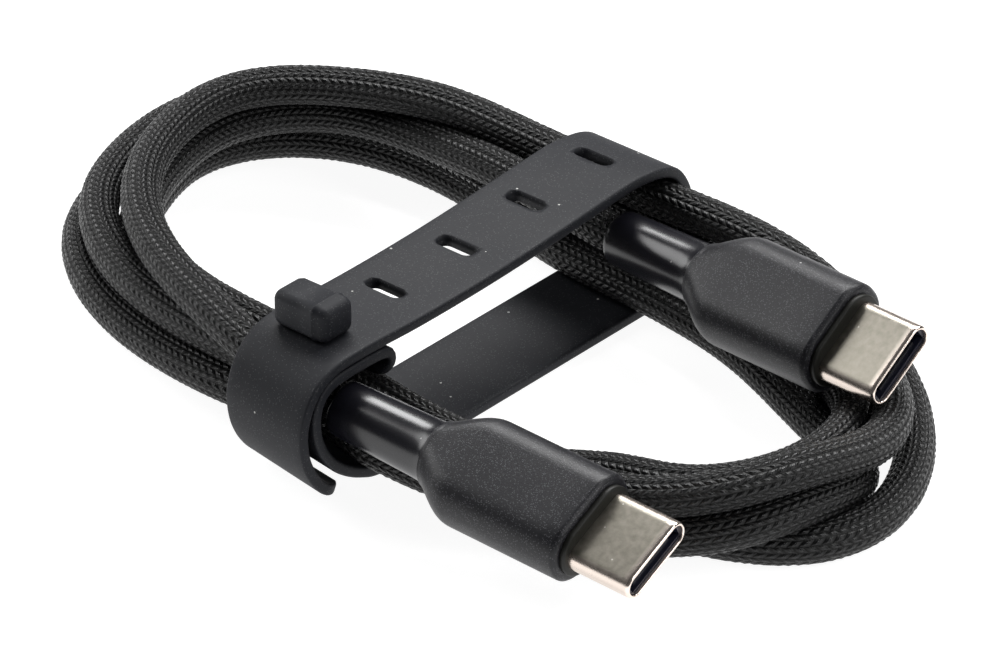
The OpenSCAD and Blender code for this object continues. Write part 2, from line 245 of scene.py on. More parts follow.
def push_off_plugs(p):
    move = np.zeros_like(p)
    for side, (end, angles) in PLUGS.items():
        m = turned(angles)
        own = (p - np.array(end)) @ m
        for x0, x1, half, round_off in PLUG_BLOCKS:
            core = np.stack([np.clip(own[:, 0], x0, x1), np.clip(own[:, 1], -half, half),
                             np.zeros(len(p))], -1)
            away = own - core
            gap = np.linalg.norm(away, axis=1)
            short = np.maximum(round_off + CABLE_THICK / 2 + PLUG_ROOM - gap, 0)
            own_end = slice(0, SKIP_OWN_PLUG) if side == "near" else slice(-SKIP_OWN_PLUG, None)
            short[own_end] = 0
            move += PLUG_PUSH * (away / (gap[:, None] + 1e-9) * short[:, None]) @ m.T
    return move


def settle(p):
    """Lets the route relax, step by step. The points in the sleeves stay where they are."""
    lanes, count = p.copy(), len(p)
    order = np.arange(count)
    free = np.ones((count, 1))
    free[:HELD_POINTS] = free[-HELD_POINTS:] = 0
    lines = [smooth_line(NEAR_WRAP)[8:], smooth_line(FAR_WRAP)]
    for step in range(ROUNDS):
        if step % SEARCH_EVERY == 0:
            gap = np.linalg.norm(p[:, None] - p[None], axis=2)
            pairs = np.where((gap < SEARCH_REACH) & (order[None] - order[:, None] > SKIP_NEIGHBOURS))
        straighter = np.zeros_like(p)
        straighter[2:-2] = (-p[:-4] + 4 * p[1:-3] - 6 * p[2:-2] + 4 * p[3:-1] - p[4:]) / 6
        p = p + free * (LANE_PULL * (lanes - p) + STRAIGHTEN * straighter)
        for _ in range(2):
            p = p + free * push_turns_apart(p, pairs, CABLE_THICK + TURN_ROOM)
            p = p + free * push_off_strap(p, lines)
            p = p + free * push_off_plugs(p)
            lifted = np.maximum(p[:, 2], CABLE_THICK / 2 + FLOOR_ROOM)
            p[:, 2] = np.where(free[:, 0] > 0, lifted, p[:, 2])
    for _ in range(EVEN_OUT):
        p[1:-1] += free[1:-1] * (p[:-2] - 2 * p[1:-1] + p[2:]) / 4
    return p


route = settle(route)

# %% [markdown]
# ## Small helpers
# Node trees are long to write out, so two helpers place a node and do one sum with it. A third works out
# the weave, which both the cable's mesh and its finish use.

# %% Helpers for node trees
CROWN_ROUND = 0.6


def put(tree, kind, wires=None, **settings):
    """Adds a node, sets its properties, and fills its inputs by name from sockets or plain values."""
    node = tree.nodes.new(kind)
    for name, value in settings.items():
        setattr(node, name, value)
    for name, value in (wires or {}).items():
        target = node.inputs[name]
        if isinstance(value, bpy.types.NodeSocket):
            tree.links.new(value, target)
        else:
            target.default_value = value
    return node


def sums(tree, operation, *values):
    return put(tree, "ShaderNodeMath", dict(enumerate(values)), operation=operation).outputs[0]


def weave(tree, around, along, rows, repeat, lean):
    """The height of a herringbone braid, from 0 between its yarns to 1 on them, and where it is in a yarn."""
    row = sums(tree, "MULTIPLY", around, rows)
    lane = sums(tree, "FRACT", row)
    odd = sums(tree, "MODULO", sums(tree, "FLOOR", row), 2.0)
    side = sums(tree, "MULTIPLY_ADD", odd, -2.0, 1.0)
    slant = sums(tree, "MULTIPLY", sums(tree, "MULTIPLY", sums(tree, "SUBTRACT", lane, 0.5), side), lean)
    beat = sums(tree, "DIVIDE", along, repeat)
    yarn = sums(tree, "ADD", sums(tree, "ADD", beat, slant), sums(tree, "MULTIPLY", odd, 0.5))
    ridge = sums(tree, "ABSOLUTE", sums(tree, "SINE", sums(tree, "MULTIPLY", yarn, math.pi)))
    crown = sums(tree, "SINE", sums(tree, "MULTIPLY", lane, math.pi))
    return sums(tree, "MULTIPLY", ridge, sums(tree, "POWER", crown, CROWN_ROUND)), yarn


# %% [markdown]
# ## The cable
# A braided cable is a round core in a sock of yarns. Geometry Nodes sweep a ring along the route, because the
# shape follows a path, and lift each yarn crossing a little, so that the outline is finely toothed too.
# The ring's angle and the distance along are kept as a UV map, and the weave of the material follows it.

# %% The tree that makes the braided tube
BRAID_ROWS, BRAID_REPEAT, BRAID_LEAN = 20.0, 0.9 * MM, 0.55
SEAM_JUMP = 0.25


def braid_tree():
    tree = bpy.data.node_groups.new("braided tube", "GeometryNodeTree")
    face = tree.interface
    face.new_socket("Geometry", in_out="OUTPUT", socket_type="NodeSocketGeometry")
    face.new_socket("Route", in_out="INPUT", socket_type="NodeSocketGeometry")
    sizes = {}
    for label in ("Radius", "Ring Gap", "Yarn Height"):
        sizes[label] = face.new_socket(label, in_out="INPUT", socket_type="NodeSocketFloat").identifier
    sizes["Sides"] = face.new_socket("Sides", in_out="INPUT", socket_type="NodeSocketInt").identifier
    sizes["Finish"] = face.new_socket("Finish", in_out="INPUT", socket_type="NodeSocketMaterial").identifier
    given = tree.nodes.new("NodeGroupInput").outputs
    line = put(tree, "GeometryNodeResampleCurve", {"Curve": given["Route"], "Length": given["Ring Gap"]},
               mode="LENGTH")
    run = tree.nodes.new("GeometryNodeSplineParameter")
    hold_run = tree.nodes.new("GeometryNodeCaptureAttribute")
    hold_run.capture_items.new("FLOAT", "Along")
    tree.links.new(line.outputs["Curve"], hold_run.inputs["Geometry"])
    tree.links.new(run.outputs["Length"], hold_run.inputs["Along"])
    ring = put(tree, "GeometryNodeCurvePrimitiveCircle",
               {"Resolution": given["Sides"], "Radius": given["Radius"]})
    turn = tree.nodes.new("GeometryNodeSplineParameter")
    hold_turn = tree.nodes.new("GeometryNodeCaptureAttribute")
    hold_turn.capture_items.new("FLOAT", "Around")
    tree.links.new(ring.outputs["Curve"], hold_turn.inputs["Geometry"])
    tree.links.new(turn.outputs["Factor"], hold_turn.inputs["Around"])
    tube = put(tree, "GeometryNodeCurveToMesh", {
        "Curve": hold_run.outputs["Geometry"], "Profile Curve": hold_turn.outputs["Geometry"],
        "Fill Caps": True})
    along, around = hold_run.outputs["Along"], hold_turn.outputs["Around"]
    height, _ = weave(tree, around, along, BRAID_ROWS, BRAID_REPEAT, BRAID_LEAN)
    lift = put(tree, "ShaderNodeVectorMath", {
        0: tree.nodes.new("GeometryNodeInputNormal").outputs[0],
        "Scale": sums(tree, "MULTIPLY", height, given["Yarn Height"])}, operation="SCALE")
    raised = put(tree, "GeometryNodeSetPosition",
                 {"Geometry": tube.outputs["Mesh"], "Offset": lift.outputs[0]})
    middle = put(tree, "GeometryNodeFieldOnDomain", {"Value": around}, domain="FACE").outputs[0]
    past_seam = sums(tree, "GREATER_THAN", sums(tree, "SUBTRACT", middle, around), SEAM_JUMP)
    spot = put(tree, "ShaderNodeCombineXYZ", {"X": sums(tree, "ADD", around, past_seam), "Y": along})
    mapped = put(tree, "GeometryNodeStoreNamedAttribute", {
        "Geometry": raised.outputs[0], "Name": "UVMap", "Value": spot.outputs[0]},
                 data_type="FLOAT2", domain="CORNER")
    smooth = put(tree, "GeometryNodeSetShadeSmooth", {"Geometry": mapped.outputs[0]})
    real = put(tree, "GeometryNodeRealizeInstances", {"Geometry": smooth.outputs[0]})
    dressed = put(tree, "GeometryNodeSetMaterial", {"Geometry": real.outputs[0], "Material": given["Finish"]})
    put(tree, "NodeGroupOutput", {"Geometry": dressed.outputs[0]})
    return tree, sizes


# %% Sweep it along the route
CORE_RADIUS, YARN_HEIGHT, RING_GAP, RING_SIDES = 1.83 * MM, 0.1 * MM, 0.405 * MM, 40
ROUTE_FINENESS = 8


def add_object(name, data):
    made = bpy.data.objects.new(name, data)
    bpy.context.scene.collection.objects.link(made)
    return made


def as_plain_mesh(maker, name):
    """The evaluated result as a plain mesh object, with the maker object removed."""
    bpy.context.view_layer.update()
    graph = bpy.context.evaluated_depsgraph_get()
    mesh = bpy.data.meshes.new_from_object(maker.evaluated_get(graph), depsgraph=graph)
    bpy.data.objects.remove(maker)
    mesh.name = name
    return add_object(name, mesh)


def braided_cable(points, finish):
    """The cable as one plain mesh, swept along the settled route."""
    curve = bpy.data.curves.new("cable_route", "CURVE")
    curve.dimensions = "3D"
    curve.resolution_u = ROUTE_FINENESS
    spline = curve.splines.new("BEZIER")
    spline.bezier_points.add(len(points) - 1)
    ahead = np.gradient(points, axis=0) / 3
    for spot, p, d in zip(spline.bezier_points, points, ahead):
        spot.co = p * MM
        spot.handle_left = (p - d) * MM
        spot.handle_right = (p + d) * MM
    maker = add_object("cable_maker", curve)
    tree, sizes = braid_tree()
    sweep = maker.modifiers.new("braid", "NODES")
    sweep.node_group = tree
    for label, value in (("Radius", CORE_RADIUS), ("Ring Gap", RING_GAP), ("Yarn Height", YARN_HEIGHT),
                         ("Sides", RING_SIDES), ("Finish", finish)):
        sweep[sizes[label]] = value
    return as_plain_mesh(maker, "braided_cable")


# %% [markdown]
# ## Finishes
# Three effects are used by several materials, so each is a node group with its own inputs: a moulded or
# satin grain, a sprinkling of dust, and the weave of the braid. They give heights and masks, and each
# material keeps its own shader. All of them read Object coordinates, except the weave, which follows the
# cable's UV map.

# %% Shader groups
THREADS, THREAD_HEIGHT, CROWN_SHARP = 4.0, 0.12, 1.6


def shader_group(name, inputs, outputs):
    tree = bpy.data.node_groups.new(name, "ShaderNodeTree")
    for label, value in inputs.items():
        kind = "NodeSocketVector" if value is None else "NodeSocketFloat"
        made = tree.interface.new_socket(label, in_out="INPUT", socket_type=kind)
        if value is not None:
            made.default_value = value
    for label in outputs:
        tree.interface.new_socket(label, in_out="OUTPUT", socket_type="NodeSocketFloat")
    return tree, tree.nodes.new("NodeGroupInput").outputs


def grain_group():
    """A fine grain with slow drifts in it, as on moulded plastic and satin metal."""
    tree, given = shader_group("moulded grain", {"Position": None, "Fine": 9000.0, "Broad": 300.0},
                               ["Height", "Drift"])
    fine, broad = (put(tree, "ShaderNodeTexNoise", {"Vector": given["Position"], "Scale": given[scale],
                                                    "Detail": detail})
                   for scale, detail in (("Fine", 3.0), ("Broad", 4.0)))
    put(tree, "NodeGroupOutput", {"Height": fine.outputs["Fac"], "Drift": broad.outputs["Fac"]})
    return tree


def dust_group():
    """Sparse specks: a small dot in some of the cells of a cell pattern."""
    tree, given = shader_group("dust specks", {"Position": None, "Cells": 900.0, "Size": 0.12, "Share": 0.3},
                               ["Mask"])
    cell = put(tree, "ShaderNodeTexVoronoi", {"Vector": given["Position"], "Scale": given["Cells"]})
    dot = sums(tree, "LESS_THAN", cell.outputs["Distance"], given["Size"])
    pick = put(tree, "ShaderNodeSeparateColor", {"Color": cell.outputs["Color"]}).outputs[0]
    kept = sums(tree, "LESS_THAN", pick, given["Share"])
    put(tree, "NodeGroupOutput", {"Mask": sums(tree, "MULTIPLY", dot, kept)})
    return tree


def weave_group():
    """The braid: the height of its yarns, with the threads inside each yarn."""
    tree, given = shader_group("herringbone weave", {"Around": 0.0, "Along": 0.0, "Rows": BRAID_ROWS,
                               "Repeat": BRAID_REPEAT, "Lean": BRAID_LEAN, "Threads": THREADS},
                               ["Height", "Crown"])
    height, yarn = weave(tree, given["Around"], given["Along"], given["Rows"], given["Repeat"],
                         given["Lean"])
    turns = sums(tree, "MULTIPLY", sums(tree, "MULTIPLY", yarn, given["Threads"]), math.pi)
    threads = sums(tree, "ABSOLUTE", sums(tree, "SINE", turns))
    both = sums(tree, "MULTIPLY_ADD", threads, THREAD_HEIGHT, height)
    put(tree, "NodeGroupOutput", {"Height": both, "Crown": sums(tree, "POWER", height, CROWN_SHARP)})
    return tree


GRAIN, DUST, WEAVE = grain_group(), dust_group(), weave_group()
print("shader groups:", [group.name for group in (GRAIN, DUST, WEAVE)])


# %% A helper that starts a material
def start_material(name, colour, roughness, **fixed):
    """A new material with its shader, and the Object coordinates for its patterns."""
    material = bpy.data.materials.new(name)
    material.use_nodes = True
    tree = material.node_tree
    shader = tree.nodes["Principled BSDF"]
    shader.inputs["Base Color"].default_value = (*colour, 1)
    shader.inputs["Roughness"].default_value = roughness
    for label, value in fixed.items():
        shader.inputs[label.replace("_", " ")].default_value = value
    position = tree.nodes.new("ShaderNodeTexCoord").outputs["Object"]
    return material, tree, shader, position


def use_group(tree, group, wires):
    node = tree.nodes.new("ShaderNodeGroup")
    node.node_tree = group
    for label, value in wires.items():
        if isinstance(value, bpy.types.NodeSocket):
            tree.links.new(value, node.inputs[label])
        else:
            node.inputs[label].default_value = value
    return node.outputs


def blend_colour(tree, share, low, high):
    """A colour between two, by a share that changes over the surface."""
    node = tree.nodes.new("ShaderNodeMix")
    node.data_type = "RGBA"
    for socket, value in ((node.inputs[0], share), (node.inputs[6], low), (node.inputs[7], high)):
        if isinstance(value, bpy.types.NodeSocket):
            tree.links.new(value, socket)
        else:
            socket.default_value = (*value, 1)
    return node.outputs[2]


def spread(tree, value, low, high):
    """Stretches a value from 0 to 1 to run from low to high."""
    return put(tree, "ShaderNodeMapRange", {"Value": value, "To Min": low, "To Max": high}).outputs[0]


def rough_surface(tree, shader, height, deep, strength=1.0):
    bump = put(tree, "ShaderNodeBump", {"Height": height, "Distance": deep, "Strength": strength})
    tree.links.new(bump.outputs[0], shader.inputs["Normal"])


# %% [markdown]
# Nylon yarn is black, and it shines only on the crown of each crossing, where the threads lie along the
# light. So the roughness follows the weave's crown, and the crowns are also painted lighter, which is a
# painted highlight.

# %% The braid's finish
def braid_finish():
    material, tree, shader, position = start_material("black_braid", (0.02, 0.02, 0.02), 0.4,
                                                      Specular_IOR_Level=0.34)
    spot = put(tree, "ShaderNodeSeparateXYZ", {0: tree.nodes.new("ShaderNodeUVMap").outputs[0]})
    cloth = use_group(tree, WEAVE, {"Around": spot.outputs["X"], "Along": spot.outputs["Y"]})
    grain = use_group(tree, GRAIN, {"Position": position, "Fine": 6000.0, "Broad": 120.0})
    worn = blend_colour(tree, grain["Drift"], (0.001, 0.001, 0.001), (0.003, 0.003, 0.0027))
    # Painted highlight: the crowns of the yarns are painted lighter than the yarn between them.
    painted_crown_highlight = blend_colour(tree, cloth["Crown"], worn, (0.010, 0.010, 0.011))
    tree.links.new(painted_crown_highlight, shader.inputs["Base Color"])
    tree.links.new(spread(tree, cloth["Crown"], 0.55, 0.12), shader.inputs["Roughness"])
    height = sums(tree, "MULTIPLY_ADD", grain["Height"], 0.02, cloth["Height"])
    rough_surface(tree, shader, height, 0.2 * MM)
    return material


BRAID = braid_finish()
cable = braided_cable(route, BRAID)
print("cable:", len(cable.data.polygons), "faces")
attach(cable, "root")
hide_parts("cable_hank", "near_lead", "far_lead")

# %% [markdown]
# ## Lofts
# The strap, its knob and the parts of a plug are all made by joining one outline to the next. The outlines
# are oblongs with round corners, and a circle is an oblong whose corners are as big as it is.

# %% Helpers for lofts
CORNER_STEPS = 12


def oblong(half_wide, half_high, corner, steps=CORNER_STEPS):
    """A round-cornered oblong as points, anticlockwise from the right side."""
    corner = min(corner, half_wide, half_high)
    points = []
    for quarter, (sx, sy) in enumerate(((1, 1), (-1, 1), (-1, -1), (1, -1))):
        for k in range(steps + 1):
            t = math.pi / 2 * (quarter + k / steps)
            points.append((sx * (half_wide - corner) + corner * math.cos(t),
                           sy * (half_high - corner) + corner * math.sin(t)))
    return np.array(points)


def ring_faces(rings, count):
    """Quads between each ring of points and the next."""
    faces = []
    for r in range(rings - 1):
        for k in range(count):
            a, b = r * count + k, r * count + (k + 1) % count
            faces.append((a, b, b + count, a + count))
    return faces


def loft(rings):
    """Points and faces of a closed skin over rings of equal count, capped at both ends."""
    rings = [np.asarray(r, float) for r in rings]
    count = len(rings[0])
    faces = ring_faces(len(rings), count)
    faces.append(tuple(range(count - 1, -1, -1)))
    last = (len(rings) - 1) * count
    faces.append(tuple(range(last, last + count)))
    return np.vstack(rings), faces


def skin(name, parts, finish):
    """One smooth mesh object from several lofts in mm."""
    points, faces = [], []
    for p, f in parts:
        shift = sum(len(q) for q in points)
        points.append(p)
        faces += [tuple(shift + k for k in face) for face in f]
    mesh = bpy.data.meshes.new(name)
    mesh.from_pydata((np.vstack(points) * MM).tolist(), [], faces)
    mesh.validate()
    mesh.materials.append(finish)
    made = add_object(name, mesh)
    tidy_mesh(mesh)
    return made


def tidy_mesh(mesh):
    """Merges doubled points, turns the faces outwards and shades them smooth."""
    work = bmesh.new()
    work.from_mesh(mesh)
    bmesh.ops.remove_doubles(work, verts=work.verts, dist=1e-7)
    bmesh.ops.recalc_face_normals(work, faces=work.faces)
    for face in work.faces:
        face.smooth = True
    work.to_mesh(mesh)
    work.free()


# %% [markdown]
# ## The strap
# The strap is one moulding of silicone. Its near end goes over and round the near turns, under the hank, up
# round the far turns and back over the top, where a slot is buttoned over the knob and the free end hangs
# down. A flat outline is carried along the strap's middle line, and the slots are cut afterwards.

# %% Silicone finish
def silicone_finish():
    material, tree, shader, position = start_material("silicone", (0.016, 0.017, 0.02), 0.6,
                                                      Specular_IOR_Level=0.25)
    grain = use_group(tree, GRAIN, {"Position": position, "Fine": 7000.0, "Broad": 90.0})
    specks = use_group(tree, DUST, {"Position": position, "Cells": 850.0, "Size": 0.1, "Share": 0.12})
    haze = use_group(tree, DUST, {"Position": position, "Cells": 6000.0, "Size": 0.34, "Share": 0.25})
    body = blend_colour(tree, grain["Drift"], (0.005, 0.0055, 0.008), (0.011, 0.012, 0.016))
    fine = blend_colour(tree, sums(tree, "MULTIPLY", haze["Mask"], 0.07), body, (0.5, 0.5, 0.5))
    dusty = blend_colour(tree, sums(tree, "MULTIPLY", specks["Mask"], 0.7), fine, (0.6, 0.6, 0.58))
    tree.links.new(dusty, shader.inputs["Base Color"])
    tree.links.new(spread(tree, grain["Drift"], 0.52, 0.68), shader.inputs["Roughness"])
    rough_surface(tree, shader, grain["Height"], 0.02 * MM, 0.7)
    return material


SILICONE = silicone_finish()
print("finish:", SILICONE.name)

# %% [markdown]
# The band is a flat outline carried along the strap's middle line, with its edges and free ends rounded.
# Where it wraps the near turns it leans a little, with the edge towards the plug further out, because the
# turns run askew there.

# %% The band
EDGE_ROUND, EDGE_START, EDGE_DEEP = 0.3, 0.02, 0.75
END_ROUND, END_NARROW = 2.2, 0.3
HUG, HUG_FROM, HUG_OVER = 0.8, 17, 6
BAND_STEP, END_STEPS, FLAT_STEPS, LINE_STEPS = 0.45, 4, 10, 8


def band_section(half_wide, half_thick):
    """The outline of the band across its width, with points along the flats too."""
    flat = oblong(half_wide, half_thick, min(EDGE_ROUND, half_wide), 4)
    points = []
    for a, b in zip(flat, np.roll(flat, -1, axis=0)):
        pieces = FLAT_STEPS if np.linalg.norm(b - a) > 2 * half_thick else 1
        points += [a + (b - a) * k / pieces for k in range(pieces)]
    return np.array(points)


def ease(t):
    t = np.clip(t, 0, 1)
    return t * t * (3 - 2 * t)


def band(points):
    """A strap along a middle line, with its free ends rounded in plan."""
    line = evenly(np.column_stack([np.zeros(len(points)), np.array(points)]), BAND_STEP)[:, 1:]
    tail = [line[0] + (line[1] - line[0]) * k / END_STEPS for k in range(1, END_STEPS)]
    tip = [line[-1] + (line[-2] - line[-1]) * k / END_STEPS for k in range(END_STEPS - 1, 0, -1)]
    line = np.vstack([line[:1], tail, line[1:-1], tip, line[-1:]])
    way = np.gradient(line, axis=0)
    way /= np.linalg.norm(way, axis=1)[:, None]
    along, rings = line_length(line), []
    base = band_section(STRAP_WIDE / 2, STRAP_THICK / 2)
    for (y, z), (dy, dz), s in zip(line, way, along):
        end, part = min(s, along[-1] - s), 1.0
        if end < END_ROUND:
            part = math.sqrt(max(1 - (1 - end / END_ROUND) ** 2, 0.0)) * END_NARROW + (1 - END_NARROW)
        x = base[:, 0] * part
        edge = 1 - min(1, (end + EDGE_START) / EDGE_ROUND)
        n = base[:, 1] * math.sqrt(1 - edge ** 2 * EDGE_DEEP)
        lean = HUG * ease((-y - HUG_FROM) / HUG_OVER) * x / (STRAP_WIDE / 2)
        rings.append(np.column_stack([STRAP_MIDDLE + x, y - dz * n - lean, z + dy * n]))
    return loft(rings)


def strap_band():
    around = smooth_line(NEAR_WRAP + UNDER_RUN + FAR_WRAP + TOP_AND_TAIL, LINE_STEPS)
    return skin("strap_band", [band(around)], SILICONE)


# %% [markdown]
# The slots are cut out of the band with one cutter mesh. The knob is a stem that comes up through a slot,
# with a long head on it that holds the strap, and it keeps the parting line that the mould leaves.

# %% The slots and the knob
SLOT_LONG, SLOT_WIDE, SLOT_X, SLOT_PITCH, FIRST_SLOT, SLOTS = 4.4, 1.75, -0.4, 9.6, -19.4, 5
KNOB_LONG, KNOB_WIDE, KNOB_BASE, KNOB_TOP, KNOB_ROUND = 6.6, 4.1, 14.25, 17.8, 0.85
PARTING = 1.7
STEM_LONG, STEM_WIDE, STEM_BASE = 4.1, 1.2, 12.6
STEM_ROUND, STEM_INTO_HEAD = 0.5, 0.5
CUT_BASE, CUT_TOP = 12.9, 15.6


def upright(outline, y, heights):
    """A closed skin over an outline in X and Y, standing between two heights."""
    return loft([np.column_stack([SLOT_X + outline[:, 0], y + outline[:, 1], np.full(len(outline), z)])
                 for z in heights])


def slot_cutters():
    outline = oblong(SLOT_LONG / 2, SLOT_WIDE / 2, SLOT_WIDE / 2)
    places = [FIRST_SLOT + k * SLOT_PITCH for k in range(SLOTS)]
    return skin("slot_cutters", [upright(outline, y, (CUT_BASE, CUT_TOP)) for y in places], SILICONE)


def knob():
    """The knob's head, with the upright parting line that the mould leaves near one end, and its stem."""
    stem = upright(oblong(STEM_LONG / 2, STEM_WIDE / 2, STEM_ROUND), FIRST_SLOT,
                   (STEM_BASE, KNOB_BASE + STEM_INTO_HEAD))
    high, wide, half = (KNOB_TOP - KNOB_BASE) / 2, KNOB_WIDE / 2, KNOB_LONG / 2
    rounded_end = [(0, 1.1), (0.05, 0.75), (0.2, 0.4), (0.45, 0.16), (0.85, 0.02)]
    ridge = [(PARTING - 0.16, 0), (PARTING - 0.07, -0.08), (PARTING + 0.07, -0.08), (PARTING + 0.16, 0)]
    stations = [(-half + x, inset) for x, inset in rounded_end] + [(-0.5, 0)] + ridge
    stations += [(half - x, inset) for x, inset in reversed(rounded_end)]
    rings = []
    for x, inset in stations:
        o = oblong(wide - inset, high - inset, KNOB_ROUND - inset * 0.5)
        rings.append(np.column_stack([np.full(len(o), SLOT_X + x), FIRST_SLOT + o[:, 0],
                                      KNOB_BASE + high + o[:, 1]]))
    return [stem, loft(rings)]


def finished_strap():
    """The band with its slots cut, and the knob."""
    body, cutters = strap_band(), slot_cutters()
    cut = body.modifiers.new("slots", "BOOLEAN")
    cut.operation, cut.object, cut.solver = "DIFFERENCE", cutters, "EXACT"
    strap = as_plain_mesh(body, "silicone_strap")
    bpy.data.objects.remove(cutters)
    strap.data.materials.clear()
    strap.data.materials.append(SILICONE)
    button = skin("strap_knob", knob(), SILICONE)
    return strap, button


strap, button = finished_strap()
print("strap:", len(strap.data.polygons), "faces, knob:", len(button.data.polygons))
for piece in (strap, button):
    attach(piece, "root")
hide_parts("strap_band")

# %% [markdown]
# ## The plugs
# Both plugs are the same moulding: a glossy tapering sleeve, a matte grip with shoulders like a bottle's, a
# slightly smaller collar at the front, and the drawn steel shell, whose mouth is rolled round. The strips,
# the springs, the board and the rest inside come from the CAD as they are, with their own finishes.

# %% Finishes of the plug
def grip_finish():
    material, tree, shader, position = start_material("matte_grip", (0.014, 0.014, 0.017), 0.5,
                                                      Specular_IOR_Level=0.35)
    grain = use_group(tree, GRAIN, {"Position": position, "Fine": 9000.0, "Broad": 160.0})
    sparkle = use_group(tree, DUST, {"Position": position, "Cells": 7500.0, "Size": 0.36, "Share": 0.4})
    specks = use_group(tree, DUST, {"Position": position, "Cells": 500.0, "Size": 0.05, "Share": 0.1})
    body = blend_colour(tree, grain["Drift"], (0.005, 0.005, 0.007), (0.010, 0.010, 0.013))
    fine = blend_colour(tree, sums(tree, "MULTIPLY", sparkle["Mask"], 0.11), body, (0.6, 0.6, 0.65))
    dusty = blend_colour(tree, sums(tree, "MULTIPLY", specks["Mask"], 0.6), fine, (0.6, 0.6, 0.6))
    tree.links.new(dusty, shader.inputs["Base Color"])
    tree.links.new(spread(tree, grain["Drift"], 0.36, 0.48), shader.inputs["Roughness"])
    rough_surface(tree, shader, grain["Height"], 0.025 * MM, 0.8)
    return material


def sleeve_finish():
    material, tree, shader, position = start_material("gloss_sleeve", (0.006, 0.006, 0.008), 0.2,
                                                      Specular_IOR_Level=0.6)
    grain = use_group(tree, GRAIN, {"Position": position, "Fine": 2500.0, "Broad": 200.0})
    specks = use_group(tree, DUST, {"Position": position, "Cells": 600.0, "Size": 0.05, "Share": 0.08})
    tint = blend_colour(tree, sums(tree, "MULTIPLY", specks["Mask"], 0.5), (0.006, 0.006, 0.009),
                        (0.5, 0.5, 0.5))
    tree.links.new(tint, shader.inputs["Base Color"])
    tree.links.new(spread(tree, grain["Drift"], 0.2, 0.3), shader.inputs["Roughness"])
    rough_surface(tree, shader, grain["Height"], 0.004 * MM, 0.5)
    return material


def nickel_finish():
    material, tree, shader, position = start_material("satin_nickel", (0.6, 0.57, 0.53), 0.3, Metallic=1.0)
    grain = use_group(tree, GRAIN, {"Position": position, "Fine": 7000.0, "Broad": 1800.0})
    lip = put(tree, "ShaderNodeAttribute", attribute_name="polish_and_painted_highlight").outputs["Fac"]
    specks = use_group(tree, DUST, {"Position": position, "Cells": 1500.0, "Size": 0.12, "Share": 0.12})
    face_tone = blend_colour(tree, grain["Drift"], (0.17, 0.16, 0.13), (0.36, 0.335, 0.29))
    # Painted highlight: the lip and the round sides are painted much lighter than the flat faces; their lower
    # roughness is polish.
    plate = blend_colour(tree, lip, face_tone, (0.92, 0.80, 0.72))
    spotted = blend_colour(tree, sums(tree, "MULTIPLY", specks["Mask"], 0.5), plate, (0.9, 0.88, 0.82))
    tree.links.new(spotted, shader.inputs["Base Color"])
    satin = spread(tree, grain["Drift"], 0.36, 0.48)
    polish = sums(tree, "MULTIPLY_ADD", lip, -0.22, satin)
    tree.links.new(polish, shader.inputs["Roughness"])
    rough_surface(tree, shader, grain["Height"], 0.012 * MM, 0.6)
    return material


def moulded_finish(name, dark, light, rough, deep=0.01, **fixed):
    """A plain moulded or machined finish with its own grain and drift."""
    material, tree, shader, position = start_material(name, light, rough, **fixed)
    grain = use_group(tree, GRAIN, {"Position": position, "Fine": 6000.0, "Broad": 500.0})
    tree.links.new(blend_colour(tree, grain["Drift"], dark, light), shader.inputs["Base Color"])
    tree.links.new(spread(tree, grain["Drift"], rough - 0.08, rough + 0.08), shader.inputs["Roughness"])
    rough_surface(tree, shader, grain["Height"], deep * MM, 0.6)
    return material


GRIP, SLEEVE, NICKEL = grip_finish(), sleeve_finish(), nickel_finish()
COLLAR = moulded_finish("collar", (0.006, 0.006, 0.005), (0.014, 0.014, 0.011), 0.5, 0.02,
                        Specular_IOR_Level=0.3)
INSIDE_FINISHES = {
    "contact_housing": moulded_finish("mouth_plastic", (0.008, 0.009, 0.018), (0.014, 0.015, 0.03), 0.35),
    "upper_contacts": moulded_finish("gold_plate", (0.7, 0.5, 0.2), (0.9, 0.7, 0.3), 0.25, Metallic=1.0),
    "latch_plate": moulded_finish("latch_steel", (0.4, 0.4, 0.42), (0.6, 0.6, 0.62), 0.3, Metallic=1.0),
    "circuit_board": moulded_finish("board_laminate", (0.01, 0.07, 0.03), (0.02, 0.12, 0.05), 0.35),
    "control_chip": moulded_finish("chip_resin", (0.012, 0.012, 0.012), (0.025, 0.025, 0.025), 0.55),
    "conductors": moulded_finish("insulation", (0.35, 0.03, 0.02), (0.5, 0.06, 0.04), 0.45),
    "crimp_ferrule": moulded_finish("plain_brass", (0.5, 0.36, 0.14), (0.65, 0.48, 0.2), 0.35, Metallic=1.0),
}
SAME_AS = {"lower_contacts": "upper_contacts", "ground_springs": "latch_plate",
           "board_shield": "latch_plate"}
print("finishes for the inside:", len(INSIDE_FINISHES))

# %% [markdown]
# Each outer piece of a plug is a loft over oblongs at places along the plug, in the plug's own frame and in
# mm. The shell goes out along its outside, round its lip and back along its inside, so its wall is real.

# %% The outside of a plug
SLEEVE_LONG, GRIP_END, SHELL_LONG = 11.2, 29.05, 6.65
GRIP_HALF_WIDE, GRIP_HALF_THICK, GRIP_CORNER, SHOULDER_LONG = 5.4, 3.25, 3.0, 4.6
SHELL_HALF_WIDE, SHELL_HALF_THICK, SHELL_WALL = 4.17, 1.28, 0.22


def at(x, half_wide, half_thick, corner):
    outline = oblong(half_wide, half_thick, corner)
    return np.column_stack([np.full(len(outline), x), outline])


def sleeve_rings():
    """The sleeve, from deep in its bore, out round its mouth and along its taper to the grip."""
    profile = [(9.0, 1.98), (0.25, 1.98), (0.05, 2.1), (0, 2.3), (0.06, 2.48), (0.25, 2.6), (0.6, 2.63),
               (3, 2.68), (6, 2.76), (8.6, 2.83), (9.6, 2.86), (10.4, 2.92), (10.9, 3.0), (11.2, 3.1),
               (11.7, 3.1), (11.9, 2.6)]
    return [at(x, r, r, r) for x, r in profile]


